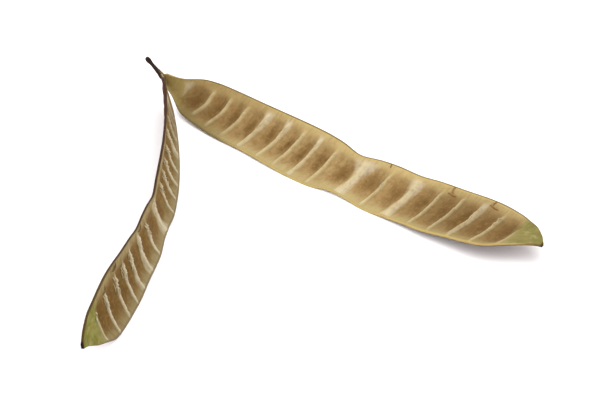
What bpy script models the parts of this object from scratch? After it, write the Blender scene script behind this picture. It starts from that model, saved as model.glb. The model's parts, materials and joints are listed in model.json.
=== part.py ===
"""White leadtree pod, opened and empty: a woody stalk and the pod's two halves, at real size.

Metres, +Z up. The origin is the middle of the pod's footprint on the surface it rests on.
Each half is a thin, shallow boat with a rim along both edges, raised cross ridges between its
seed pockets, and a beaked tip. A place on a half is given by two fractions and a height:
along (0 at the stalk, 1 at the tip), across (-1 at the plain edge, +1 at the seed-bearing edge),
and the height above the half's middle surface, towards its hollow side.
"""
import math

import bmesh
import bpy
import numpy as np
from mathutils import Matrix, Vector

MM = 0.001

# Outline that both halves share
POD_LENGTH = 117.7
NECK_GAP = 2.1
WIDTH_AT = (0.0, 0.05, 0.10, 0.18, 0.30, 0.42, 0.48, 0.54, 0.65, 0.80, 0.90, 0.95, 0.985, 1.0)
HALF_WIDTHS = (1.55, 3.25, 5.8, 6.7, 6.8, 7.1, 6.8, 5.9, 6.8, 7.6, 7.3, 4.8, 2.0, 0.45)
FULL_HALF_WIDTH = 7.0
BEAK_SHIFT_AT = (0.0, 0.80, 0.90, 0.95, 0.985, 1.0)
BEAK_SHIFTS = (0.0, 0.0, -0.7, -0.8, -1.1, -2.2)

# How far each edge swells beyond that outline, or draws in, in mm
SWELL_AT = (0.0, 0.06, 0.12, 0.22, 0.32, 0.44, 0.49, 0.535, 0.58, 0.62, 0.675, 0.72,
            0.78, 0.86, 0.925, 0.96, 1.0)
SEED_SWELL = (-0.2, 0.0, 0.0, -0.2, 0.15, 0.05, -0.15, -0.45, 0.15, 0.1, -0.4, -0.05,
              0.05, 0.35, -0.1, 0.4, 0.0)
LYING_PLAIN_SWELL = (0.1, -0.55, -0.8, 0.0, -0.2, 0.05, 0.25, -0.1, 0.0, 0.4, 0.05, -0.05,
                     0.3, 0.05, 0.2, -0.3, 0.0)
STANDING_PLAIN_SWELL = (0.0, 0.0, 0.1, -0.1, 0.0, 0.0, 0.3, 0.15, -0.15, 0.25, -0.2, -0.4,
                        0.15, 0.05, 0.0, 0.15, 0.0)

# Wall, rims, ridges and pockets
EDGE_RISE = 0.5
HOLLOW_DEPTH = 0.95
WALL = 0.6
RIM_THICKNESS = 0.65
RIM_INSET = 0.035
RIDGES = (7.6, 15.4, 21.0, 26.8, 33.3, 40.5, 46.1, 51.5, 57.0,
          64.9, 72.9, 80.3, 87.0, 92.6, 98.0, 104.1, 109.7)
RIDGE_HEIGHT = 0.7
LOW_RIDGES = {0: 0.35, 1: 0.8, 16: 0.8}
RIDGE_SLANT = 1.7
RIDGE_FOOT = 0.9
POCKET_DEPTH = 0.35

# How each half lies: side of the seed-bearing edge, its plain edge's swell, then heading, pitch and
# roll in degrees
APEX = (-40.0, 54.29, 6.36)
LIE_AT = (0.0, 0.12, 0.30, 0.55, 0.80, 1.0)
LYING = (1, LYING_PLAIN_SWELL, (-50.8, -40.0, -45.3, -36.5, -32.4, -30.0),
         (-11.0, -2.4, 0.5, -2.4, 1.8, 2.7),
         (88.6, 47.8, 42.4, 41.1, 14.3, -3.7))
STANDING = (-1, STANDING_PLAIN_SWELL, (-77.0, -82.9, -88.1, -97.7, -104.8, -114.2),
            (5.9, 2.4, -2.4, 0.2, 3.4, 2.9),
            (76.0, 80.0, 77.6, 77.2, 79.3, 81.8))

# Stalk: points from the fork outwards, and its radius at each
STALK_PATH = ((0.55, -1.2, 0.0), (-0.15, 0.0, 0.2), (-0.8, 0.95, 0.55), (-1.8, 2.4, 0.95),
              (-3.0, 4.3, 1.4), (-3.95, 5.75, 1.75), (-4.5, 6.65, 1.95))
STALK_RADII = (0.5, 0.9, 0.8, 0.6, 0.55, 0.7, 0.6)
STALK_SIDES = 14
STALK_FLATTEN = 0.8

# Mesh layout
SPINE_STEPS = 240
NECK_AT = (0.0, 0.012, 0.024, 0.036)
TIP_AT = (0.945, 0.958, 0.970, 0.980, 0.989, 0.996, 1.0)
POCKET_STEPS = (1 / 3, 2 / 3)
INSIDE_AT = (-0.90, -0.78, -0.55, -0.25, 0.05, 0.30, 0.50, 0.66, 0.80, 0.91)
OUTSIDE_AT = (0.80, 0.45, 0.0, -0.45, -0.80)


def clear_scene():
    for thing in list(bpy.data.objects):
        bpy.data.objects.remove(thing, do_unlink=True)


def smooth_curve(stations, values, at):
    """Values at the given places on a smooth curve that passes through each station's value."""
    x, y = np.array(stations, float), np.array(values, float)
    slope = np.gradient(y, x)
    slope[1:-1] = (y[2:] - y[:-2]) / (x[2:] - x[:-2])
    at = np.clip(at, x[0], x[-1])
    i = np.clip(np.searchsorted(x, at, side="right") - 1, 0, len(x) - 2)
    gap = x[i + 1] - x[i]
    q = (at - x[i]) / gap
    start = (1 + 2 * q) * (1 - q) ** 2 * y[i] + q * (1 - q) ** 2 * gap * slope[i]
    end = q * q * (3 - 2 * q) * y[i + 1] - q * q * (1 - q) * gap * slope[i + 1]
    return start + end


def ease(start, end, value):
    """0 at start, 1 at end, with a smooth step between."""
    t = np.clip((value - start) / (end - start), 0.0, 1.0)
    return t * t * (3 - 2 * t)


def half_width(along):
    return smooth_curve(WIDTH_AT, HALF_WIDTHS, along)


def fullness(along):
    """1 where a half has its full width, less towards the neck and the tip, where it also gets shallower."""
    return min(1.0, half_width(along) / FULL_HALF_WIDTH) ** 1.5


def spine(lie):
    """Points of a half's centre line, and its directions towards the seed edge and the hollow side."""
    side, plain_swell, headings, pitches, rolls = lie
    at = np.linspace(0.0, 1.0, SPINE_STEPS + 1)
    heading, pitch, roll = (np.radians(smooth_curve(LIE_AT, v, at)) for v in (headings, pitches, rolls))
    forward = np.stack((np.cos(pitch) * np.cos(heading), np.cos(pitch) * np.sin(heading), np.sin(pitch)), 1)
    level = side * np.stack((-np.sin(heading), np.cos(heading), 0 * heading), 1)
    upright = side * np.cross(forward, level)
    cos, sin = np.cos(roll)[:, None], np.sin(roll)[:, None]
    steps = (forward[1:] + forward[:-1]) / 2 * POD_LENGTH / SPINE_STEPS
    points = np.array(APEX) + np.vstack((np.zeros(3), np.cumsum(steps, axis=0)))
    return at, points, cos * level + sin * upright, cos * upright - sin * level, plain_swell


def place(line, along, across, height):
    """World position, in mm, of a place on a half. The cross ridges lean by RIDGE_SLANT."""
    at, points, to_edge, to_hollow, plain_swell = line
    lean = ease(0.0, 0.12, along) * ease(1.0, 0.92, along)
    where = np.clip(along + RIDGE_SLANT / POD_LENGTH * across * lean, 0.0, 1.0)
    point, edge, hollow = (np.array([np.interp(where, at, column) for column in row.T])
                           for row in (points, to_edge, to_hollow))
    reach = half_width(along) + smooth_curve(SWELL_AT, SEED_SWELL if across > 0 else plain_swell, along)
    sideways = smooth_curve(BEAK_SHIFT_AT, BEAK_SHIFTS, along) + reach * across
    return point + sideways * edge + height * hollow


def pocket_share(along):
    """0 on a cross ridge's foot and beyond the pockets, 1 in the middle of a seed pocket."""
    ridges = np.array(RIDGES) / POD_LENGTH
    if not ridges[0] < along < ridges[-1]:
        return 0.0
    i = np.searchsorted(ridges, along) - 1
    middle = (along - ridges[i]) / (ridges[i + 1] - ridges[i])
    return math.sin(math.pi * middle) ** 0.7


def ridge_share(along):
    """1 on a full ridge's crest, 0 from its foot on."""
    away = np.abs(along * POD_LENGTH - np.array(RIDGES))
    nearest = int(np.argmin(away))
    return LOW_RIDGES.get(nearest, 1.0) * max(0.0, 1 - away[nearest] / RIDGE_FOOT)


def hollow_height(along, across):
    """Height of the wall's inner face between the ridges: steep at the plain edge, gentler at the other."""
    steepness = 3.5 if across < 0 else 2.3
    return (EDGE_RISE - HOLLOW_DEPTH * (1 - abs(across) ** steepness)) * fullness(along)


def inner_height(along, across):
    ridge = RIDGE_HEIGHT * ridge_share(along) * ease(-0.93, -0.70, across) * ease(0.66, 0.32, across)
    pocket = POCKET_DEPTH * pocket_share(along) * ease(-0.88, -0.55, across) * ease(0.72, 0.42, across)
    return hollow_height(along, across) + (ridge - pocket) * fullness(along)


def outer_height(along, across):
    wall = WALL + (RIM_THICKNESS - WALL) * abs(across) ** 6
    bulge = POCKET_DEPTH * pocket_share(along) * ease(-0.88, -0.45, across) * ease(0.80, 0.42, across)
    return hollow_height(along, across) - wall - bulge * fullness(along)


def section(along):
    """Places (across, height) round the wall: inner face, seed edge's rim, outer face, plain edge's rim."""
    top = hollow_height(along, 1.0)
    rim = ((1 - RIM_INSET, top), (1.0, top - 0.3 * RIM_THICKNESS),
           (1.0, top - 0.7 * RIM_THICKNESS), (1 - RIM_INSET, top - RIM_THICKNESS))
    inside = [(across, inner_height(along, across)) for across in INSIDE_AT]
    outside = [(across, outer_height(along, across)) for across in OUTSIDE_AT]
    return inside + list(rim) + outside + [(-across, height) for across, height in reversed(rim)]


def columns():
    """Where the mesh has a cross line: on each ridge's crest and feet, and in each pocket."""
    start = NECK_GAP / POD_LENGTH
    found = [start + at for at in NECK_AT]
    foot = RIDGE_FOOT / POD_LENGTH
    ridges = [ridge / POD_LENGTH for ridge in RIDGES]
    found.append(ridges[0] - foot)
    for this, following in zip(ridges, ridges[1:]):
        inner = following - this - 2 * foot
        found += [this, this + foot] + [this + foot + inner * step for step in POCKET_STEPS]
        found.append(following - foot)
    return found + [ridges[-1], ridges[-1] + foot] + list(TIP_AT)


def material(name, colour, roughness):
    """A plain surface of that colour."""
    made = bpy.data.materials.new(name)
    made.use_nodes = True
    shader = made.node_tree.nodes["Principled BSDF"]
    shader.inputs["Base Color"].default_value = (*colour, 1.0)
    shader.inputs["Roughness"].default_value = roughness
    shader.inputs["Metallic"].default_value = 0.0
    made.diffuse_color = (*colour, 1.0)
    return made


def add_object(name, bm, surface):
    mesh = bpy.data.meshes.new(name)
    bm.to_mesh(mesh)
    bm.free()
    mesh.shade_smooth()
    mesh.set_sharp_from_angle(angle=math.radians(50))
    mesh.materials.append(surface)
    made = bpy.data.objects.new(name, mesh)
    bpy.context.scene.collection.objects.link(made)
    return made


def close_tube(bm):
    """Joins the rolled grid along its seam, and closes both ends with a low fan."""
    bmesh.ops.remove_doubles(bm, verts=bm.verts[:], dist=1e-7)
    open_edges = [edge for edge in bm.edges if edge.is_boundary]
    ends = bmesh.ops.holes_fill(bm, edges=open_edges, sides=0)["faces"]
    bmesh.ops.poke(bm, faces=ends)
    bmesh.ops.triangulate(bm, faces=bm.faces[:])
    bmesh.ops.recalc_face_normals(bm, faces=bm.faces[:])


def make_half(name, lie, surface):
    """One half: a grid rolled round its cross section, from the neck to the tip."""
    line = spine(lie)
    stations = columns()
    rings = [section(along) for along in stations]
    around = len(rings[0])
    bm = bmesh.new()
    bmesh.ops.create_grid(bm, x_segments=len(stations) - 1, y_segments=around, size=1.0)
    for vert in bm.verts:
        i = round((vert.co.x + 1) / 2 * (len(stations) - 1))
        j = round((vert.co.y + 1) / 2 * around) % around
        x, y, z = place(line, stations[i], *rings[i][j])
        vert.co = Vector((x, y, max(z, 0.0))) * MM
    close_tube(bm)
    return add_object(name, bm, surface)


def make_stalk(name, surface):
    """The stalk: a round tube along its bent path, flattened at the fork, with a knob at the far end."""
    path = [Vector(APEX) + Vector(point) for point in STALK_PATH]
    last = len(path) - 1
    bm = bmesh.new()
    bmesh.ops.create_grid(bm, x_segments=last, y_segments=STALK_SIDES, size=1.0)
    for vert in bm.verts:
        i = round((vert.co.x + 1) / 2 * last)
        turn = math.tau * (round((vert.co.y + 1) / 2 * STALK_SIDES) % STALK_SIDES) / STALK_SIDES
        forward = (path[min(i + 1, last)] - path[max(i - 1, 0)]).normalized()
        sideways = forward.cross(Vector((0.0, 0.0, 1.0))).normalized()
        spoke = Matrix.Rotation(turn, 3, forward) @ sideways
        flat = STALK_FLATTEN if i < 2 else 1.0
        spoke -= (1 - flat) * spoke.dot(sideways) * sideways
        vert.co = (path[i] + spoke * STALK_RADII[i]) * MM
    close_tube(bm)
    return add_object(name, bm, surface)


clear_scene()
make_half("valve_lying", LYING, material("lying_half", (0.46, 0.34, 0.19), 0.55))
make_half("valve_standing", STANDING, material("standing_half", (0.40, 0.29, 0.16), 0.55))
make_stalk("stalk", material("stalk_bark", (0.05, 0.025, 0.014), 0.7))
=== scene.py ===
"""White leadtree pod, opened and empty: its two papery halves and its woody stalk, at real size.

Each half is a fine grid rolled round its cross section. A place on it is given by along (0 at the
stalk, 1 at the tip), across (-1 at the plain edge, +1 at the seed-bearing edge) and drop (0 on the
hollow side's face, 1 on the outer face). Sizes are in millimetres until a mesh is placed.
"""
import json
import math

import bmesh
import bpy
import numpy as np
from mathutils import Matrix, Vector

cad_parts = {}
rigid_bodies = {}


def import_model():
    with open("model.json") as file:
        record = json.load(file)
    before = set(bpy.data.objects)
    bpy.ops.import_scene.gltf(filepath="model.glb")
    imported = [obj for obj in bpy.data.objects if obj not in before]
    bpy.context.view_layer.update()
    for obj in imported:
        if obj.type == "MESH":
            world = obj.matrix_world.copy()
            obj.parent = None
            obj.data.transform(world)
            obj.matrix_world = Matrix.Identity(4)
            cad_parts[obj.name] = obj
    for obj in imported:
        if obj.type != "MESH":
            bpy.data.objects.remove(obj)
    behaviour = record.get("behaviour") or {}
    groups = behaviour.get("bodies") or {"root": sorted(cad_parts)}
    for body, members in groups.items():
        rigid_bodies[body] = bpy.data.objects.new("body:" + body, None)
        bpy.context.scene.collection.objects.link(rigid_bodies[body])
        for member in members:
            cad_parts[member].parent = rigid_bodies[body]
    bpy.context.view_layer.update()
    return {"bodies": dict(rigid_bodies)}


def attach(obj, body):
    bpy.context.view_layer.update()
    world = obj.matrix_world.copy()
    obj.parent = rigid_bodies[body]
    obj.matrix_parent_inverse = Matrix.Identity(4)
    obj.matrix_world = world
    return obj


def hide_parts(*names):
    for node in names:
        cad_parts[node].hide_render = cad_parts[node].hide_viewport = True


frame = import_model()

MM = 0.001
BODY = sorted(frame["bodies"])[0]

# Outline that both halves share
POD_LENGTH = 117.7
WIDTH_AT = (0.0, 0.05, 0.10, 0.18, 0.30, 0.42, 0.48, 0.54, 0.65, 0.80, 0.90, 0.95, 0.985, 1.0)
HALF_WIDTHS = (1.55, 3.25, 5.8, 6.7, 6.8, 7.1, 6.8, 5.9, 6.8, 7.6, 7.3, 4.8, 2.0, 0.45)
FULL_HALF_WIDTH = 7.0
BEAK_SHIFT_AT = (0.0, 0.80, 0.90, 0.95, 0.985, 1.0)
BEAK_SHIFTS = (0.0, 0.0, -0.7, -0.8, -1.1, -2.2)

# How far each edge swells beyond that outline, or draws in
SWELL_AT = (0.0, 0.06, 0.12, 0.22, 0.32, 0.44, 0.49, 0.535, 0.58, 0.62, 0.675, 0.72,
            0.78, 0.86, 0.925, 0.96, 1.0)
SEED_SWELL = (-0.2, 0.0, 0.0, -0.2, 0.15, 0.05, -0.15, -0.45, 0.15, 0.1, -0.4, -0.05,
              0.05, 0.35, -0.1, 0.4, 0.0)
LYING_PLAIN_SWELL = (0.1, -0.55, -0.8, 0.0, -0.2, 0.05, 0.25, -0.1, 0.0, 0.4, 0.05, -0.05,
                     0.3, 0.05, 0.2, -0.3, 0.0)
STANDING_PLAIN_SWELL = (0.0, 0.0, 0.1, -0.1, 0.0, 0.0, 0.3, 0.15, -0.15, 0.25, -0.2, -0.4,
                        0.15, 0.05, 0.0, 0.15, 0.0)

# Wall, rims and pockets
EDGE_RISE = 0.5
HOLLOW_DEPTH = 0.95
WALL = 0.6
RIM_THICKNESS = 0.65
RIM_INSET = 0.035
POCKET_DEPTH = 0.35
RIDGE_SLANT = 1.7
RIDGES = (7.6, 15.4, 21.0, 26.8, 33.3, 40.5, 46.1, 51.5, 57.0,
          64.9, 72.9, 80.3, 87.0, 92.6, 98.0, 104.1, 109.7)

# How each half lies: side of the seed-bearing edge, its plain edge's swell, then heading, pitch and
# roll in degrees
APEX = (-40.0, 54.29, 6.36)
LIE_AT = (0.0, 0.12, 0.30, 0.55, 0.80, 1.0)
LYING = (1, LYING_PLAIN_SWELL, (-50.8, -40.0, -45.3, -36.5, -32.4, -30.0),
         (-11.0, -2.4, 0.5, -2.4, 1.8, 2.7),
         (88.6, 47.8, 42.4, 41.1, 14.3, -3.7))
STANDING = (-1, STANDING_PLAIN_SWELL, (-77.0, -82.9, -88.1, -97.7, -104.8, -114.2),
            (5.9, 2.4, -2.4, 0.2, 3.4, 2.9),
            (76.0, 80.0, 77.6, 77.2, 79.3, 81.8))
SPINE_STEPS = 240

# Cross ridges: height, half breadth, where it ends towards the plain and the seed edge, paleness,
# and how far it stands from its twin's place
LYING_RIDGES = (
    (0.20, 1.20, -0.35, 0.62, 0.25, 0.3), (0.70, 0.90, -0.66, 0.52, 0.78, 0.1),
    (0.75, 0.80, -0.76, 0.52, 0.80, 0.1), (0.75, 0.85, -0.78, 0.50, 0.70, 0.2),
    (0.80, 0.90, -0.86, 0.60, 0.90, 0.4), (0.78, 0.75, -0.84, 0.60, 0.88, 0.0),
    (0.75, 0.70, -0.84, 0.60, 0.84, -0.1), (0.75, 0.70, -0.86, 0.58, 0.84, -0.2),
    (0.78, 0.65, -0.88, 0.50, 0.92, 0.0), (0.62, 1.50, -0.92, 0.72, 0.60, 0.6),
    (0.78, 0.48, -0.88, 0.48, 1.00, 0.1), (0.68, 1.30, -0.90, 0.72, 0.70, -0.3),
    (0.76, 0.48, -0.88, 0.54, 1.00, -0.1), (0.76, 0.50, -0.88, 0.60, 0.95, -0.1),
    (0.82, 0.70, -0.90, 0.52, 1.00, -0.2), (0.78, 0.50, -0.92, 0.52, 1.00, -0.3),
    (0.50, 0.50, -0.88, 0.30, 0.90, -0.2))
STANDING_RIDGES = (
    (0.20, 1.20, -0.50, 0.55, 0.20, 0.0), (0.50, 0.60, -0.70, 0.45, 0.35, 0.0),
    (0.55, 0.55, -0.78, 0.45, 0.40, 0.0), (0.60, 0.45, -0.80, 0.50, 0.60, 0.0),
    (0.60, 0.36, -0.82, 0.50, 0.80, -0.2), (0.62, 0.30, -0.82, 0.52, 0.90, 0.0),
    (0.62, 0.30, -0.84, 0.52, 0.90, -0.2), (0.62, 0.30, -0.84, 0.52, 0.95, -0.4),
    (0.64, 0.30, -0.86, 0.50, 0.95, -0.6), (0.50, 0.90, -0.90, 0.72, 0.75, -0.2),
    (0.66, 0.30, -0.86, 0.50, 1.00, 0.8), (0.56, 0.28, -0.88, 0.64, 1.00, 0.2),
    (0.66, 0.30, -0.86, 0.54, 1.00, 0.4), (0.68, 0.34, -0.88, 0.56, 1.00, 0.0),
    (0.68, 0.34, -0.88, 0.56, 1.00, 0.0), (0.66, 0.32, -0.90, 0.52, 1.00, 0.1),
    (0.52, 0.32, -0.88, 0.44, 0.95, 0.0))

# How far each half's ridges bend at the plain edge and at the seed edge, how ragged their crests are,
# and the seed of the half's unevenness
LYING_BENDS = (-0.6, 0.0)
LYING_RAGGEDNESS = 0.9
LYING_SEED = 11
STANDING_BENDS = (0.0, -0.6)
STANDING_RAGGEDNESS = 1.3
STANDING_SEED = 411

# Stretches of the pod, in mm from the fork, over which its ridges change
BOWED_TOWARDS_FORK = (32.0, 14.0)
RAGGED_BEYOND_FORK = (14.0, 34.0)
BENT_BEFORE_TIP = (112.0, 100.0)

# Pale skin left on some ridges: half breadths at the plain edge, the middle and the seed edge, and how
# far it lies from its ridge
LYING_FILMS = {0: (0.0, 0.15, 1.3, 0.2), 4: (0.4, 0.5, 1.3, 0.2), 5: (0.2, 0.4, 1.0, 0.0),
               7: (0.7, 0.3, 0.7, 0.0), 9: (1.3, 0.8, 2.8, 0.4), 11: (1.2, 0.8, 1.7, 0.1),
               14: (0.3, 0.4, 0.75, 0.2)}
STANDING_FILMS = {1: (0.3, 0.4, 0.9, 0.0), 4: (0.9, 0.3, 0.5, 0.0), 9: (2.0, 1.0, 1.8, 0.0),
                  11: (1.5, 0.25, 0.5, 0.2), 12: (0.9, 0.2, 0.3, 0.0)}

# Shrivelled stalks of the lost seeds. Each point: place along the half in mm, across it, how far the
# strand stands off the wall, and its radius
LYING_SEED_STALKS = (
    ((88.6, 0.97, 0.05, 0.13), (88.5, 0.86, 0.16, 0.17), (88.9, 0.74, 0.20, 0.18),
     (89.2, 0.66, 0.12, 0.13)),
    ((87.9, 0.70, 0.06, 0.09), (88.8, 0.69, 0.18, 0.20), (89.7, 0.66, 0.20, 0.21),
     (90.4, 0.65, 0.08, 0.09)),
    ((99.6, 0.96, 0.05, 0.12), (99.4, 0.86, 0.16, 0.16), (99.5, 0.76, 0.12, 0.10)),
    ((98.8, 0.77, 0.06, 0.09), (99.6, 0.75, 0.18, 0.18), (100.6, 0.72, 0.14, 0.16),
     (101.3, 0.71, 0.05, 0.08)),
    ((71.2, 0.99, 0.02, 0.12), (71.5, 0.90, 0.10, 0.17), (71.5, 0.83, 0.06, 0.09)))
STANDING_SEED_STALKS = (
    ((77.4, 0.96, 0.05, 0.10), (77.8, 0.86, 0.22, 0.18), (78.9, 0.80, 0.26, 0.18),
     (79.6, 0.84, 0.08, 0.09)),
    ((96.2, 0.95, 0.05, 0.10), (96.6, 0.82, 0.24, 0.18), (97.7, 0.77, 0.20, 0.16),
     (98.3, 0.80, 0.06, 0.09)),
    ((103.0, 0.72, 0.05, 0.10), (103.6, 0.60, 0.20, 0.17), (104.6, 0.58, 0.08, 0.09)))
STRAND_RINGS = 7
STRAND_SIDES = 10
STRAND_FLATNESS = 0.7
LUMP_SEED = 5

# How many slivers of lining stand torn on a cross ridge, and the seed of where they stand
LYING_TORN = {4: 1, 7: 1, 10: 2, 14: 2, 15: 2}
LYING_TORN_SEED = 5
STANDING_TORN = {4: 1, 5: 3, 6: 2, 7: 4, 8: 3, 10: 6, 11: 3, 12: 5, 13: 6, 14: 6, 15: 6, 16: 4}
STANDING_TORN_SEED = 8

# Stalk: points from the fork outwards, its radius at each, and how its knob's end rounds off: from how
# far before the end, and over what reach
STALK_PATH = ((0.45, -0.8, 0.0), (-0.15, 0.0, 0.2), (-0.8, 0.95, 0.55), (-1.8, 2.4, 0.95),
              (-3.0, 4.3, 1.4), (-3.95, 5.75, 1.75), (-4.5, 6.65, 1.95))
STALK_RADII = (0.45, 0.76, 0.70, 0.54, 0.5, 0.7, 0.5)
KNOB_ROUNDS_FROM = 0.45
KNOB_ROUNDS_OVER = 0.5
FURROW_SEED = 7
SCAR_SEED = 8

# Necks: where a half starts, over what share of its length its end rounds off, how much of its height
# is left there, and how far it sags
NECK_START = 0.002
LYING_NECK_ROUNDING = 0.008
STANDING_NECK_ROUNDING = 0.024
NECK_END_HEIGHT = 0.4
NECK_END_SAG = 0.15

# How much brighter than white the studio's light makes a white card, where its lamp hangs in metres,
# and the camera's place in millimetres and its tilt in degrees
STUDIO_LIGHT = 1.27
LAMP_AT = (0.05, 0.22, 0.75)
CAMERA_AT = (-3.24, -437.91, 290.2)
CAMERA_TILT = 56.74

# Fineness of the meshes
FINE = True
NECK_COLUMNS = 12
HALF_COLUMNS = 700 if FINE else 420
TIP_COLUMNS = 60 if FINE else 30
TIP_START = 0.94
INSIDE_ROWS = 64 if FINE else 48
OUTSIDE_ROWS = 36 if FINE else 20
STALK_RINGS = 90 if FINE else 60
STALK_SIDES = 40 if FINE else 28

# Seeded unevenness: knots on a line and where it starts among them, and cells across a surface
WANDER_KNOTS = 1024
WANDER_START = 400
RUMPLE_CELLS = 512

# How far apart the inner and the outer face lie in the places that the finishes read
SPOT_DEPTH = 30


def tone(red, green, blue):
    """A colour as a screen shows it in the studio's light, from 0 to 255, as the shader's own colour."""
    shares = np.array((red, green, blue)) / 255
    linear = np.where(shares <= 0.04045, shares / 12.92, ((shares + 0.055) / 1.055) ** 2.4) / STUDIO_LIGHT
    return (*(float(share) for share in linear), 1.0)


def smooth_curve(stations, values, at):
    """Values at the given places on a smooth curve that passes through each station's value."""
    x, y = np.array(stations, float), np.array(values, float)
    slope = np.gradient(y, x)
    slope[1:-1] = (y[2:] - y[:-2]) / (x[2:] - x[:-2])
    at = np.clip(at, x[0], x[-1])
    i = np.clip(np.searchsorted(x, at, side="right") - 1, 0, len(x) - 2)
    gap = x[i + 1] - x[i]
    q = (at - x[i]) / gap
    start = (1 + 2 * q) * (1 - q) ** 2 * y[i] + q * (1 - q) ** 2 * gap * slope[i]
    end = q * q * (3 - 2 * q) * y[i + 1] - q * q * (1 - q) * gap * slope[i + 1]
    return start + end


def ease(start, end, value):
    """0 at start, 1 at end, with a smooth step between."""
    t = np.clip((value - start) / (end - start), 0.0, 1.0)
    return t * t * (3 - 2 * t)


def wander(seed, where, spacing):
    """Smooth seeded wandering between -1 and 1 along a line."""
    knots = np.random.default_rng(seed).uniform(-1.0, 1.0, WANDER_KNOTS)
    at = np.asarray(where) / spacing + WANDER_START
    i = np.floor(at).astype(int)
    q = ease(0.0, 1.0, at - i)
    return knots[i] * (1 - q) + knots[i + 1] * q


def rumple(seed, x, y):
    """Smooth seeded unevenness between -1 and 1 over a surface, with one swing for each unit."""
    lattice = np.random.default_rng(seed).uniform(-1.0, 1.0, (RUMPLE_CELLS, RUMPLE_CELLS))
    x, y = np.broadcast_arrays(x, y)
    i, j = np.floor(x).astype(int), np.floor(y).astype(int)
    p, q = ease(0.0, 1.0, x - i), ease(0.0, 1.0, y - j)
    i, j = i % (RUMPLE_CELLS - 1), j % (RUMPLE_CELLS - 1)
    near = lattice[i, j] * (1 - p) + lattice[i + 1, j] * p
    far = lattice[i, j + 1] * (1 - p) + lattice[i + 1, j + 1] * p
    return near * (1 - q) + far * q


def half_width(along):
    """Half of the width at a place along a half, before its edges' swells."""
    return smooth_curve(WIDTH_AT, HALF_WIDTHS, along)


def fullness(along):
    """1 where a half has its full width, less towards the neck and the tip, where it gets shallower."""
    return np.minimum(1.0, half_width(along) / FULL_HALF_WIDTH) ** 1.5


def spine(lie):
    """Points of a half's centre line, and its directions towards the seed edge and the hollow side."""
    side, plain_swell, headings, pitches, rolls = lie
    at = np.linspace(0.0, 1.0, SPINE_STEPS + 1)
    heading, pitch, roll = (np.radians(smooth_curve(LIE_AT, v, at)) for v in (headings, pitches, rolls))
    forward = np.stack((np.cos(pitch) * np.cos(heading), np.cos(pitch) * np.sin(heading), np.sin(pitch)), 1)
    level = side * np.stack((-np.sin(heading), np.cos(heading), 0 * heading), 1)
    upright = side * np.cross(forward, level)
    cos, sin = np.cos(roll)[:, None], np.sin(roll)[:, None]
    steps = (forward[1:] + forward[:-1]) / 2 * POD_LENGTH / SPINE_STEPS
    points = np.array(APEX) + np.vstack((np.zeros(3), np.cumsum(steps, axis=0)))
    return at, points, cos * level + sin * upright, cos * upright - sin * level, plain_swell


def place(line, along, across, height):
    """Positions in mm of places on a half. The cross ridges lean by RIDGE_SLANT."""
    at, points, to_edge, to_hollow, plain_swell = line
    lean = ease(0.0, 0.12, along) * ease(1.0, 0.92, along)
    where = np.clip(along + RIDGE_SLANT / POD_LENGTH * across * lean, 0.0, 1.0)
    point, edge, hollow = (np.stack([np.interp(where, at, column) for column in row.T], -1)
                           for row in (points, to_edge, to_hollow))
    swell = np.where(across > 0, smooth_curve(SWELL_AT, SEED_SWELL, along),
                     smooth_curve(SWELL_AT, plain_swell, along))
    sideways = smooth_curve(BEAK_SHIFT_AT, BEAK_SHIFTS, along) + (half_width(along) + swell) * across
    return point + sideways[..., None] * edge + height[..., None] * hollow


def wall_ring():
    """Across and drop, once round the wall: inner face, seed edge's rim, outer face, plain edge's rim."""
    turn_across = np.array((1 - RIM_INSET, 1 - 0.45 * RIM_INSET, 1 - 0.1 * RIM_INSET, 1.0,
                            1 - 0.1 * RIM_INSET, 1 - 0.45 * RIM_INSET, 1 - RIM_INSET))
    turn_drop = np.array((0.0, 0.06, 0.22, 0.5, 0.78, 0.94, 1.0))
    reach = 1 - RIM_INSET
    inside = np.linspace(-reach, reach, INSIDE_ROWS + 2)[1:-1]
    outside = np.linspace(reach, -reach, OUTSIDE_ROWS + 2)[1:-1]
    across = np.concatenate((inside, turn_across, outside, -turn_across[::-1]))
    drop = np.concatenate((0 * inside, turn_drop, 1 + 0 * outside, turn_drop[::-1]))
    return across, drop


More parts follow.
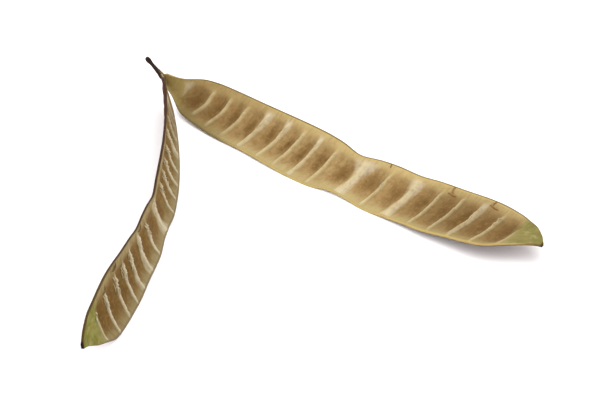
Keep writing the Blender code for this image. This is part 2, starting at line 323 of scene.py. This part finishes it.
def ridge_lines(along_mm, across, looks, films, bends, ragged, seed):
    """Shares of the cross ridges and of the seed chambers between them, for a grid of places."""
    lengthwise = across * FULL_HALF_WIDTH
    behind = np.full(along_mm.shape, np.inf)
    ahead = np.full(along_mm.shape, np.inf)
    rise, crest, film = (np.zeros(along_mm.shape) for _ in range(3))
    for number, (middle, look) in enumerate(zip(RIDGES, looks)):
        height, breadth, plain_end, seed_end, paleness, shift = look
        bow = 0.15 + 0.80 * ease(*BOWED_TOWARDS_FORK, middle)
        bend = bends[0] * ease(0.0, -0.85, across) + bends[1] * ease(0.0, 0.45, across)
        bend = bend * ease(*BENT_BEFORE_TIP, middle)
        crest_line = (middle + shift + bend + bow * (0.3 - across ** 2)
                      + 0.14 * wander(seed + number, lengthwise, 3.4)
                      + 0.03 * ragged * wander(seed + 50 + number, lengthwise, 0.8))
        away = along_mm - crest_line
        behind = np.where(away >= 0, np.minimum(behind, away), behind)
        ahead = np.where(away < 0, np.minimum(ahead, -away), ahead)
        extent = (ease(plain_end - 0.14, plain_end + 0.12, across)
                  * ease(seed_end + 0.18, seed_end - 0.12, across))
        frail = (0.3 + 0.7 * ease(-0.2, 0.4, across)) * ease(*RAGGED_BEYOND_FORK, middle)
        torn = (1 + 0.12 * ragged * frail * wander(seed + 100 + number, lengthwise, 0.9)
                + 0.26 * ragged * frail * wander(seed + 150 + number, lengthwise, 0.3))
        spread = np.clip(1 - np.abs(away) / (breadth + 0.35), 0.0, 1.0)
        rise = np.maximum(rise, height * torn * extent * spread ** 1.5)
        narrow = np.clip(1 - np.abs(away) / (0.70 * breadth + 0.20), 0.0, 1.0)
        crest = np.maximum(crest, paleness * extent * ease(0.0, 0.75, narrow))
        if number in films:
            reach = np.interp(across, (-0.85, 0.0, 0.65), films[number][:3])
            wide = np.clip(1 - ((away - films[number][3]) / (1.3 * reach + 0.05)) ** 2, 0.0, 1.0)
            film = np.maximum(film, ease(-1.0, -0.84, across) * ease(0.92, 0.62, across) * wide)
    between = np.isfinite(behind) & np.isfinite(ahead)
    step = np.where(between, behind / np.maximum(np.where(between, behind + ahead, 1.0), 1e-6), 0.0)
    return rise, crest, film, np.clip(step, 0.0, 1.0)


def half_relief(along, across, drop, looks, films, bends, ragged, seed):
    """Height of the wall over a half's middle surface, and the shares that its finish reads."""
    along_mm = along * POD_LENGTH
    crosswise = across * half_width(along)
    full = fullness(along)
    rise, crest, film, step = ridge_lines(along_mm, across, looks, films, bends, ragged, seed)
    pocket = np.sin(np.pi * step) ** 0.7
    steepness = np.where(across < 0, 3.5, 2.3)
    hollow = (EDGE_RISE - HOLLOW_DEPTH * (1 - np.abs(across) ** steepness)) * full
    bowl = pocket * ease(-0.88, -0.55, across) * ease(0.72, 0.42, across)
    bulge = pocket * ease(-0.88, -0.45, across) * ease(0.80, 0.42, across)
    away_from_rim = ease(1.0, 0.86, np.abs(across))
    fibres = rumple(seed + 3, along_mm / 0.55, crosswise / 3.0 + 40)
    dents = rumple(seed + 4, along_mm / 2.6 + 9, crosswise / 2.2 + 40)
    inner = (hollow + (rise - (POCKET_DEPTH + 0.12) * bowl) * full
             + away_from_rim * (0.035 * fibres + 0.07 * dents) * full)
    veins = rumple(seed + 5, along_mm / 1.8 + crosswise / 2.4, crosswise / 1.1 + 60)
    outer = hollow - WALL - (RIM_THICKNESS - WALL) * np.abs(across) ** 6 - POCKET_DEPTH * bulge * full
    outer = outer + 0.05 * away_from_rim * veins * full
    height = inner * (1 - drop) + outer * drop
    facing_in = 1 - ease(0.0, 0.12, drop)
    # Painted shade with pocket stain: each chamber darkens on its side towards the next ridge, whose slope
    # turns from the light
    shaded_side = np.exp(-((step - 0.64) / 0.30) ** 2 - ((across - 0.02) / 0.44) ** 2)
    shares = {
        "chamber": pocket ** 0.5 * ease(-1.0, -0.30, across) * ease(0.95, 0.28, across) * facing_in,
        "shade_and_pocket_brown": pocket ** 0.4 * shaded_side * facing_in,
        "crest": crest * facing_in,
        "film": film * facing_in,
        "seed_band": ease(0.40, 0.86, across) * facing_in,
        "plain_band": ease(-0.30, -0.80, across) * facing_in,
        "skin": ease(0.60, 0.84, drop),
        "skin_edge": ease(0.55, 0.92, across) * ease(0.5, 0.8, drop),
        "seed_rim": ease(0.88, 0.94, across) * facing_in,
        "seed_line": ease(0.93, 0.975, across),
        "plain_line": ease(-0.89, -0.95, across),
        "neck": ease(0.095, 0.045, along + 0.012 * across),
        "tip": ease(0.918, 0.946, along + 0.010 * across),
        "beak": ease(0.994, 0.999, along),
    }
    return height, shares


def close_tubes(bm):
    """Joins rolled grids along their seams, and closes their ends with low fans."""
    bmesh.ops.remove_doubles(bm, verts=bm.verts[:], dist=1e-7)
    open_edges = [edge for edge in bm.edges if edge.is_boundary]
    ends = bmesh.ops.holes_fill(bm, edges=open_edges, sides=0)["faces"]
    bmesh.ops.poke(bm, faces=ends)
    bmesh.ops.recalc_face_normals(bm, faces=bm.faces[:])


def rolled_grids(tubes, shares=None):
    """Grids whose rows run along a tube and close round it, moved to the given places."""
    bm = bmesh.new()
    layers = {name: bm.verts.layers.float.new(name) for name in shares or {}}
    spot = bm.verts.layers.float_vector.new("spot")
    for positions in tubes:
        columns, around = positions.shape[:2]
        made = bmesh.ops.create_grid(bm, x_segments=columns - 1, y_segments=around, size=1.0)["verts"]
        for vert in made:
            i = round((vert.co.x + 1) / 2 * (columns - 1))
            j = round((vert.co.y + 1) / 2 * around) % around
            vert.co = Vector(positions[i, j, :3]) * MM
            vert[spot] = Vector(positions[i, j, 3:])
            for name, layer in layers.items():
                vert[layer] = shares[name][i, j]
    close_tubes(bm)
    return bm


def add_piece(name, bm, surface):
    """A finished piece that rides on the pod, with its place in its mesh."""
    mesh = bpy.data.meshes.new(name)
    bm.to_mesh(mesh)
    bm.free()
    mesh.shade_smooth()
    mesh.materials.append(surface)
    piece = bpy.data.objects.new(name, mesh)
    bpy.context.scene.collection.objects.link(piece)
    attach(piece, BODY)
    return piece


def make_half(name, node, lie, look, neck_rounding, surface):
    """One half of the pod, from its neck at the stalk to its beak."""
    stations = np.concatenate((np.linspace(NECK_START, neck_rounding, NECK_COLUMNS, endpoint=False),
                               np.linspace(neck_rounding, TIP_START, HALF_COLUMNS, endpoint=False),
                               np.linspace(TIP_START, 1.0, TIP_COLUMNS)))
    ring_across, ring_drop = wall_ring()
    along, across = np.meshgrid(stations, ring_across, indexing="ij")
    drop = np.broadcast_to(ring_drop, along.shape)
    height, shares = half_relief(along, across, drop, *look)
    closing = np.sqrt(1 - (1 - np.clip(along / neck_rounding, 0.0, 1.0)) ** 2)
    height = (height * (NECK_END_HEIGHT + (1 - NECK_END_HEIGHT) * closing)
              - NECK_END_SAG * (1 - closing))
    positions = place(spine(lie), along, across * closing, height)
    positions[..., 2] = np.maximum(positions[..., 2], 0.0)
    spots = np.stack((along * POD_LENGTH, across * half_width(along), SPOT_DEPTH * drop), -1)
    piece = add_piece(name, rolled_grids([np.concatenate((positions, spots), -1)], shares), surface)
    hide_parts(node)


def unit(rows):
    """Directions of length 1."""
    return rows / np.linalg.norm(rows, axis=1)[:, None]


def round_spots(at, turn):
    """Places on a round piece for its finish to read: along it, and two directions round it."""
    return np.stack(np.broadcast_arrays(at[:, None], np.cos(turn)[None, :], np.sin(turn)[None, :]), -1)


def make_stalk(name, node, surface):
    """The woody stalk: furrowed lengthwise, swollen at the fork and knobbed at its old joint."""
    path, radii = np.array(STALK_PATH) + np.array(APEX), np.array(STALK_RADII)
    reach = np.concatenate(((0.0,), np.cumsum(np.linalg.norm(np.diff(path, axis=0), axis=1))))
    at = np.linspace(0.0, reach[-1], STALK_RINGS)
    centre = np.stack([smooth_curve(reach, column, at) for column in path.T], -1)
    forward = unit(np.gradient(centre, at, axis=0))
    sideways = unit(np.cross(forward, (0.0, 0.0, 1.0)))
    upward = np.cross(sideways, forward)
    turn = np.linspace(0.0, math.tau, STALK_SIDES, endpoint=False)
    past = np.clip(at - (reach[-1] - KNOB_ROUNDS_FROM), 0.0, None) / KNOB_ROUNDS_OVER
    closing = np.sqrt(np.clip(1 - past ** 2, 0.05, 1.0))
    radius = (smooth_curve(reach, radii, at) * closing)[:, None]
    furrows = rumple(FURROW_SEED, at[:, None] / 2.4, 3 + 5 * np.abs(np.sin(turn / 2))[None, :])
    scars = rumple(SCAR_SEED, at[:, None] / 0.35, 7 + 2 * np.sin(turn)[None, :])
    radius = radius * (1 + 0.10 * furrows + 0.06 * scars)
    spokes = (np.cos(turn)[None, :, None] * sideways[:, None]
              + np.sin(turn)[None, :, None] * upward[:, None])
    positions = centre[:, None] + radius[..., None] * spokes
    spots = round_spots(at, turn)
    shares = {"olive_side": ease(3.4, 1.6, at[:, None]) * ease(-0.1, 0.5, np.cos(turn - 0.5))[None, :]}
    piece = add_piece(name, rolled_grids([np.concatenate((positions, spots), -1)], shares), surface)
    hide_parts(node)


def strand(lie, look, path):
    """The places of one shrivelled strand on a half's hollow side.

    Each point of its path gives the place along the half in mm, across it, how far the strand stands
    off the wall there, and its radius.
    """
    columns = np.array(path, float).T
    knots = np.arange(len(path))
    at = np.linspace(0.0, knots[-1], STRAND_RINGS * knots[-1] + 1)
    along_mm, across, lift, radius = (smooth_curve(knots, column, at) for column in columns)
    along = along_mm / POD_LENGTH
    height = half_relief(along, across, 0 * along, *look)[0] + lift
    line = spine(lie)
    centre = place(line, along, across, height)
    outward = place(line, along, across, height + 1.0) - centre
    sideways = unit(np.cross(np.gradient(centre, axis=0), outward))
    turn = np.linspace(0.0, math.tau, STRAND_SIDES, endpoint=False)
    lumps = 1 + 0.35 * rumple(LUMP_SEED, at[:, None] * 2.3 + along_mm[0], 4 + 2 * np.sin(turn)[None, :])
    spokes = (np.cos(turn)[None, :, None] * sideways[:, None]
              + STRAND_FLATNESS * np.sin(turn)[None, :, None] * outward[:, None])
    positions = centre[:, None] + (radius[:, None] * lumps)[..., None] * spokes
    return np.concatenate((positions, round_spots(at, turn)), -1)


def fringe_paths(look, torn_ridges, seed):
    """Paths of the short slivers of lining that stand torn on the cross ridges."""
    chance = np.random.default_rng(seed)
    paths = []
    for number, count in torn_ridges.items():
        seed_end, shift = look[0][number][3], look[0][number][5]
        for _ in range(count):
            across = seed_end - chance.uniform(-0.06, 0.42)
            start = RIDGES[number] + shift + chance.uniform(-0.25, 0.35)
            reach = chance.uniform(0.05, 0.11)
            swing = chance.uniform(-0.35, 0.45)
            thick = chance.uniform(0.07, 0.13)
            paths.append(((start, across, 0.02, 0.5 * thick),
                          (start + 0.5 * swing, across - reach, 0.16, thick),
                          (start + swing, across - 2 * reach, 0.20, 0.8 * thick),
                          (start + 1.2 * swing, across - 2.8 * reach, 0.04, 0.4 * thick)))
    return paths


def add_strands(name, lie, look, paths, surface):
    """One piece of all the strands along the given paths on a half."""
    add_piece(name, rolled_grids([strand(lie, look, path) for path in paths]), surface)


class Finish:
    """A material whose colour, gloss and grain are laid on coat by coat."""

    def __init__(self, name):
        self.material = bpy.data.materials.new(name)
        self.material.use_nodes = True
        self.tree = self.material.node_tree
        self.shader = self.tree.nodes["Principled BSDF"]

    def add(self, kind, inputs, **settings):
        """A node with its settings, and its inputs set to values or linked to other nodes."""
        made = self.tree.nodes.new(kind)
        for name, value in settings.items():
            setattr(made, name, value)
        for key, value in inputs.items():
            if isinstance(value, bpy.types.NodeSocket):
                self.tree.links.new(value, made.inputs[key])
            else:
                made.inputs[key].default_value = value
        return made

    def share(self, name):
        """One of the piece's own attributes."""
        return self.add("ShaderNodeAttribute", {}, attribute_name=name).outputs["Fac"]

    def spot(self, stretch=(1.0, 1.0, 1.0)):
        """The place on the piece, in mm along and across it, stretched to suit a pattern."""
        source = self.add("ShaderNodeAttribute", {}, attribute_name="spot").outputs["Vector"]
        return self.add("ShaderNodeMapping", {"Vector": source, "Scale": stretch}).outputs["Vector"]

    def grain(self, scale, stretch=(1.0, 1.0, 1.0), detail=4.0, roughness=0.55, distortion=0.0):
        """Noise between 0 and 1 with so many swings a millimetre."""
        return self.add("ShaderNodeTexNoise", {
            "Vector": self.spot(stretch), "Scale": scale, "Detail": detail, "Roughness": roughness,
            "Distortion": distortion}).outputs["Fac"]

    def between(self, value, low, high, start=0.0, end=1.0):
        """A value's smooth step from low to high, scaled from start to end."""
        return self.add("ShaderNodeMapRange", {
            "Value": value, "From Min": low, "From Max": high, "To Min": start, "To Max": end},
            interpolation_type="SMOOTHSTEP").outputs["Result"]

    def reckon(self, first, second, operation="ADD", clamp=False):
        """The sum of two values, or what another operation makes of them."""
        return self.add("ShaderNodeMath", {0: first, 1: second}, operation=operation,
                        use_clamp=clamp).outputs[0]

    def product(self, first, second):
        return self.reckon(first, second, "MULTIPLY", True)

    def coat(self, under, amount, colour, blend="MIX"):
        """Lays a colour over the one beneath by the given amount."""
        return self.add("ShaderNodeMix", {0: amount, 6: under, 7: colour}, data_type="RGBA",
                        blend_type=blend).outputs[2]

    def relief(self, height, depth, below=None):
        """Fine relief of the given depth in metres."""
        inputs = {"Height": height, "Distance": depth, "Strength": 1.0}
        if below:
            inputs["Normal"] = below
        return self.add("ShaderNodeBump", inputs).outputs["Normal"]

    def done(self, colour, roughness, normal, specular):
        """The material with all its coats on."""
        self.tree.links.new(colour, self.shader.inputs["Base Color"])
        self.tree.links.new(roughness, self.shader.inputs["Roughness"])
        self.tree.links.new(normal, self.shader.inputs["Normal"])
        self.shader.inputs["Specular IOR Level"].default_value = specular
        return self.material


def papery_wall(name, tones, first_shade, last_shade, last_dimness, fibre_depth, stitch_depth,
                thinner_line):
    """The pod's dry wall: papery inside with pale ridges and brown chambers, dark skin outside.

    The shades say how much deeper the first and the last chambers are, last_dimness how dull the end
    of the half is, and the depths how strongly its fibres and its stitched edge show. thinner_line is
    the share of the seed edge's dark line that the hollow side lacks towards the tip.
    """
    wall = Finish(name)
    mottle = wall.grain(0.42, detail=5.0, roughness=0.6)
    blotch = wall.grain(0.16, detail=3.0)
    patch = wall.grain(0.33, detail=6.0, roughness=0.62)
    fibre = wall.grain(1.0, stretch=(2.4, 0.22, 1.0), detail=3.0)
    speck = wall.grain(2.3, detail=2.0, roughness=0.7)

    def frayed(share, swing=0.5, grain=mottle):
        """A share whose border is broken up by a grain."""
        loose = wall.reckon(wall.reckon(grain, 0.5, "SUBTRACT"), swing, "MULTIPLY")
        edge = wall.product(wall.reckon(share, wall.reckon(1.0, share, "SUBTRACT"), "MULTIPLY"), 4.0)
        return wall.reckon(share, wall.reckon(loose, edge, "MULTIPLY"), "ADD", True)

    seed_band, plain_band = wall.share("seed_band"), wall.share("plain_band")
    chamber, shade_and_pocket_brown = wall.share("chamber"), wall.share("shade_and_pocket_brown")
    crest, film = wall.share("crest"), wall.share("film")
    axes = wall.add("ShaderNodeSeparateXYZ", {"Vector": wall.spot()}).outputs
    along, depth = axes["X"], axes["Z"]

    def zone(start, end, most=1.0):
        """A share that grows to its most from one place to another, in mm along the half."""
        return wall.between(along, start, end, 0.0, most)

    colour = wall.coat(tones["wall"], wall.between(blotch, 0.35, 0.70), tones["wall_dull"])
    colour = wall.coat(colour, frayed(seed_band), tones["seed_band"])
    # Painted shade: the seed band is darker near the neck, most on the standing half, which rises upright
    # and leans over there
    near_neck = zone(50.0, 14.0, 0.85)
    colour = wall.coat(colour, wall.product(frayed(seed_band), near_neck), tones["seed_band_shade_near_neck"])
    colour = wall.coat(colour, frayed(plain_band), tones["plain_band"])
    low_neck = zone(33.0, 20.0, 0.9)
    colour = wall.coat(colour, wall.product(frayed(plain_band), low_neck), tones["olive"])
    colour = wall.coat(colour, frayed(chamber, 1.6, patch), tones["chamber"])
    warm = wall.product(chamber, wall.between(wall.grain(0.30, detail=2.0), 0.45, 0.65))
    colour = wall.coat(colour, wall.product(warm, 0.5), tones["chamber_warm"])
    first = wall.product(chamber, zone(36.0, 12.0, first_shade))
    colour = wall.coat(colour, first, tones["shade_and_pocket_brown"])
    last = wall.product(chamber, zone(66.0, 92.0, last_shade))
    colour = wall.coat(colour, last, tones["shade_and_pocket_brown"])
    # Painted shade and brown pocket stain in the chambers, mottled, darkest towards the next ridge
    colour = wall.coat(colour, frayed(shade_and_pocket_brown, 2.0, patch), tones["shade_and_pocket_brown"])
    pocket_stain_in_shade = wall.product(shade_and_pocket_brown, wall.between(mottle, 0.50, 0.70, 0.0, 0.7))
    colour = wall.coat(colour, pocket_stain_in_shade, tones["pocket_stain_in_shade"])
    colour = wall.coat(colour, wall.product(frayed(film, 0.7, fibre), 0.85), tones["film"])
    colour = wall.coat(colour, frayed(crest, 0.5, speck), tones["crest"])
    # Olive neck, painted lighter than its own colour: painted light on its steep, shaded face
    colour = wall.coat(colour, wall.product(frayed(wall.share("neck"), 0.5), 0.9), tones["neck"])
    tip = frayed(wall.share("tip"), 0.6)
    colour = wall.coat(colour, wall.product(tip, 0.9), tones["tip"])
    green = wall.product(tip, wall.between(blotch, 0.40, 0.62))
    colour = wall.coat(colour, wall.product(green, 0.8), tones["tip_green"])
    dots = wall.product(tip, wall.between(patch, 0.50, 0.64))
    colour = wall.coat(colour, wall.product(dots, 0.7), tones["tip_dots"])
    rot = wall.product(tip, wall.between(wall.grain(1.0, detail=4.0, roughness=0.7), 0.56, 0.68))
    colour = wall.coat(colour, wall.product(rot, 0.5), tones["rust"])
    dirt = wall.between(wall.grain(0.6, detail=7.0, roughness=0.72), 0.46, 0.60)
    colour = wall.coat(colour, wall.product(wall.product(dirt, chamber), 0.45), tones["shade_and_pocket_brown"])
    flecks = wall.between(wall.grain(1.1, detail=5.0, roughness=0.65), 0.48, 0.68)
    colour = wall.coat(colour, wall.product(flecks, 0.09), tones["crest"])
    rust = wall.between(wall.grain(0.55, detail=4.0, roughness=0.7), 0.54, 0.68)
    colour = wall.coat(colour, wall.product(rust, 0.36), tones["rust"])
    stitch = wall.product(wall.between(fibre, 0.50, 0.36), wall.between(seed_band, 0.70, 0.98))
    colour = wall.coat(colour, wall.product(stitch, stitch_depth), tones["shade_and_pocket_brown"])
    # Darker towards the tip
    darker_towards_tip = zone(74.0, 96.0, last_dimness)
    colour = wall.coat(colour, darker_towards_tip, tones["dim"], "MULTIPLY")
    fibre_mark = wall.between(fibre, 0.30, 0.62, 1.0 - fibre_depth, 1.0 + 0.4 * fibre_depth)
    colour = wall.coat(colour, 1.0, wall.add("ShaderNodeCombineColor", {
        0: fibre_mark, 1: fibre_mark, 2: fibre_mark}).outputs[0], "MULTIPLY")

    gold = wall.product(zone(24.0, 36.0), wall.share("plain_line"))
    gold = wall.product(gold, zone(117.0, 112.0))
    colour = wall.coat(colour, wall.product(wall.share("plain_line"), 0.75), tones["plain_line"])
    colour = wall.coat(colour, gold, tones["gold_rim"])
    seed_gold = wall.product(zone(20.0, 34.0, 0.6), wall.share("seed_rim"))
    seed_gold = wall.product(seed_gold, zone(112.0, 102.0))
    colour = wall.coat(colour, seed_gold, tones["seed_rim"])
    edge = wall.product(wall.share("seed_line"), wall.between(wall.share("neck"), 0.2, 0.9, 0.9, 0.0))
    bare = wall.product(zone(52.0, 68.0, thinner_line), wall.between(depth, 9.0, 2.0))
    edge = wall.product(edge, wall.reckon(1.0, bare, "SUBTRACT"))
    colour = wall.coat(colour, edge, tones["seed_line"])
    colour = wall.coat(colour, wall.product(edge, zone(92.0, 106.0)), tones["tip_line"])

    veins = wall.grain(0.9, stretch=(0.6, 1.6, 1.0), detail=4.0, distortion=1.2)
    skin = wall.coat(tones["skin"], wall.between(veins, 0.40, 0.62), tones["skin_dark"])
    skin = wall.coat(skin, wall.between(blotch, 0.48, 0.68, 0.0, 0.6), tones["skin_red"])
    dark_edge = wall.reckon(wall.share("skin_edge"), wall.share("neck"), "MAXIMUM")
    skin = wall.coat(skin, dark_edge, tones["skin_edge"])
    colour = wall.coat(colour, wall.share("skin"), skin)
    tip_edge = wall.product(wall.share("skin_edge"), zone(88.0, 104.0, 0.8))
    colour = wall.coat(colour, tip_edge, tones["tip_line"])
    colour = wall.coat(colour, wall.share("beak"), tones["beak"])

    roughness = wall.reckon(wall.between(mottle, 0.3, 0.7, 0.50, 0.68),
                            wall.product(wall.share("skin"), 0.25), "ADD", True)
    paper = wall.relief(wall.grain(3.6, detail=4.0, roughness=0.65), 0.00006)
    creases = wall.relief(fibre, 0.00010, paper)
    return wall.done(colour, roughness, creases, 0.04)


def woody_bark(name):
    """Dark dry bark, furrowed lengthwise, greyer on its knob."""
    bark = Finish(name)
    streak = bark.grain(1.0, stretch=(0.5, 3.0, 3.0), detail=4.0)
    fine = bark.grain(4.0, stretch=(1.0, 1.6, 1.6), detail=3.0, roughness=0.65)
    along = bark.add("ShaderNodeSeparateXYZ", {"Vector": bark.spot()}).outputs["X"]
    colour = bark.coat(tone(52, 36, 28), bark.between(streak, 0.35, 0.65), tone(28, 17, 13))
    colour = bark.coat(colour, bark.between(fine, 0.54, 0.70, 0.0, 0.35), tone(84, 66, 52))
    colour = bark.coat(colour, bark.between(along, 8.0, 9.2, 0.0, 0.5), tone(76, 68, 56))
    olive = bark.product(bark.share("olive_side"), bark.between(streak, 0.30, 0.60, 1.0, 0.75))
    colour = bark.coat(colour, olive, tone(128, 110, 62))
    roughness = bark.between(fine, 0.3, 0.7, 0.60, 0.82)
    normal = bark.relief(fine, 0.00008, bark.relief(streak, 0.00016))
    return bark.done(colour, roughness, normal, 0.08)


def shrivelled_strand(name, light, dark):
    """Dry, streaky remains of a seed's stalk or of the lining."""
    remains = Finish(name)
    streak = remains.grain(1.6, stretch=(0.8, 2.0, 2.0), detail=4.0)
    fine = remains.grain(5.0, detail=3.0, roughness=0.65)
    colour = remains.coat(light, remains.between(streak, 0.40, 0.66), dark)
    roughness = remains.between(fine, 0.3, 0.7, 0.60, 0.80)
    return remains.done(colour, roughness, remains.relief(fine, 0.00005), 0.08)


LYING_TONES = {
    "wall": tone(190, 170, 119), "wall_dull": tone(180, 159, 109),
    "seed_band": tone(202, 180, 123), "seed_band_shade_near_neck": tone(176, 152, 97),
    "plain_band": tone(190, 173, 121), "olive": tone(146, 132, 83), "chamber": tone(179, 150, 99),
    "chamber_warm": tone(180, 142, 92), "shade_and_pocket_brown": tone(126, 96, 52), "pocket_stain_in_shade": tone(108, 80, 42),
    "film": tone(217, 206, 177), "crest": tone(218, 202, 154), "rust": tone(176, 132, 74),
    # neck: olive, with painted light that lifts its shaded face
    "dim": tone(246, 243, 240), "neck": tone(186, 165, 102),
    "tip": tone(156, 149, 88), "tip_green": tone(136, 134, 64), "tip_dots": tone(186, 176, 122),
    "plain_line": tone(122, 104, 66), "gold_rim": tone(200, 176, 110),
    "seed_line": tone(104, 84, 46), "seed_rim": tone(212, 186, 112),
    "skin": tone(112, 72, 62), "skin_dark": tone(80, 50, 46), "skin_red": tone(120, 72, 54),
    "skin_edge": tone(96, 62, 52), "tip_line": tone(98, 88, 44), "beak": tone(80, 62, 34),
}
# The standing half's walls, bands and chambers are darker than the lying half's: partly its own colour,
# partly painted shade on the upright half
STANDING_TONES_WITH_PAINTED_SHADE = {
    "wall": tone(151, 133, 90), "wall_dull": tone(141, 123, 82),
    "seed_band": tone(156, 138, 92), "seed_band_shade_near_neck": tone(108, 86, 56),
    "plain_band": tone(151, 137, 97), "olive": tone(158, 142, 108), "chamber": tone(127, 98, 47),
    "chamber_warm": tone(136, 99, 49), "shade_and_pocket_brown": tone(106, 76, 28), "pocket_stain_in_shade": tone(84, 58, 28),
    "film": tone(196, 187, 156), "crest": tone(218, 208, 176), "rust": tone(146, 104, 56),
    # neck: olive, with painted light that lifts its shaded face
    "dim": tone(250, 250, 236), "neck": tone(160, 138, 84),
    "tip": tone(143, 141, 74), "tip_green": tone(112, 110, 34), "tip_dots": tone(160, 152, 90),
    "plain_line": tone(128, 112, 84), "gold_rim": tone(132, 116, 86),
    "seed_line": tone(66, 37, 22), "seed_rim": tone(158, 142, 94),
    "skin": tone(96, 64, 50), "skin_dark": tone(68, 43, 34), "skin_red": tone(106, 64, 44),
    "skin_edge": tone(66, 38, 24), "tip_line": tone(96, 76, 42), "beak": tone(44, 30, 22),
}


def make_floor():
    """Plain white card under and behind the pod."""
    bm = bmesh.new()
    bmesh.ops.create_grid(bm, x_segments=2, y_segments=2, size=2.5)
    mesh = bpy.data.meshes.new("white_card")
    bm.to_mesh(mesh)
    bm.free()
    card = bpy.data.materials.new("white_card")
    card.use_nodes = True
    shader = card.node_tree.nodes["Principled BSDF"]
    shader.inputs["Base Color"].default_value = (0.96, 0.96, 0.96, 1.0)
    shader.inputs["Roughness"].default_value = 0.9
    shader.inputs["Specular IOR Level"].default_value = 0.1
    mesh.materials.append(card)
    floor = bpy.data.objects.new("white_card", mesh)
    bpy.context.scene.collection.objects.link(floor)


def make_lights():
    """Soft light from all round, and a large soft lamp high behind the pod."""
    world = bpy.data.worlds.new("studio")
    world.use_nodes = True
    background = world.node_tree.nodes["Background"]
    background.inputs["Color"].default_value = (1.0, 0.965, 0.97, 1.0)
    background.inputs["Strength"].default_value = 1.14 * STUDIO_LIGHT
    bpy.context.scene.world = world
    lamp = bpy.data.lights.new("soft_box", "AREA")
    lamp.shape = "DISK"
    lamp.size = 0.9
    lamp.energy = 1.55 * STUDIO_LIGHT
    lamp.color = (0.96, 1.0, 1.0)
    key = bpy.data.objects.new("soft_box", lamp)
    facing = Vector(LAMP_AT).to_track_quat("Z", "Y").to_matrix().to_4x4()
    key.matrix_world = Matrix.Translation(LAMP_AT) @ facing
    bpy.context.scene.collection.objects.link(key)


def make_camera():
    """Looks down on the pod at the photograph's angle."""
    lens = bpy.data.cameras.new("camera")
    lens.lens = 130.0
    lens.sensor_width = 36.0
    lens.sensor_fit = "HORIZONTAL"
    lens.clip_start = 0.01
    camera = bpy.data.objects.new("camera", lens)
    camera.location = Vector(CAMERA_AT) * MM
    camera.rotation_euler = (math.radians(CAMERA_TILT), 0.0, 0.0)
    bpy.context.scene.collection.objects.link(camera)
    bpy.context.scene.camera = camera


bpy.context.scene.view_settings.view_transform = "Standard"
make_floor()
make_lights()
make_camera()
lying_wall = papery_wall("papery_lying_wall", LYING_TONES, first_shade=0.5, last_shade=0.6,
                         last_dimness=0.85, fibre_depth=0.06, stitch_depth=0.15, thinner_line=0.0)
standing_wall = papery_wall("papery_standing_wall_with_painted_shade", STANDING_TONES_WITH_PAINTED_SHADE, first_shade=0.2, last_shade=0.4,
                            last_dimness=0.2, fibre_depth=0.14, stitch_depth=0.5, thinner_line=0.5)
lying_look = (LYING_RIDGES, LYING_FILMS, LYING_BENDS, LYING_RAGGEDNESS, LYING_SEED)
standing_look = (STANDING_RIDGES, STANDING_FILMS, STANDING_BENDS, STANDING_RAGGEDNESS, STANDING_SEED)
make_half("pod_valve_lying", "valve_lying", LYING, lying_look, LYING_NECK_ROUNDING, lying_wall)
make_half("pod_valve_standing", "valve_standing", STANDING, standing_look, STANDING_NECK_ROUNDING,
          standing_wall)
brown_strand = shrivelled_strand("shrivelled_seed_stalk", tone(168, 127, 77), tone(130, 92, 52))
dark_strand = shrivelled_strand("darkened_seed_stalk", tone(132, 108, 68), tone(104, 78, 46))
pale_strand = shrivelled_strand("torn_lining", tone(212, 202, 168), tone(186, 172, 134))
lying_fringe = fringe_paths(lying_look, LYING_TORN, LYING_TORN_SEED)
standing_fringe = fringe_paths(standing_look, STANDING_TORN, STANDING_TORN_SEED)
add_strands("lying_seed_stalks", LYING, lying_look, LYING_SEED_STALKS, brown_strand)
add_strands("lying_torn_lining", LYING, lying_look, lying_fringe, pale_strand)
add_strands("standing_seed_stalks", STANDING, standing_look, STANDING_SEED_STALKS, dark_strand)
add_strands("standing_torn_lining", STANDING, standing_look, standing_fringe, pale_strand)
make_stalk("pod_stalk", "stalk", woody_bark("woody_bark"))
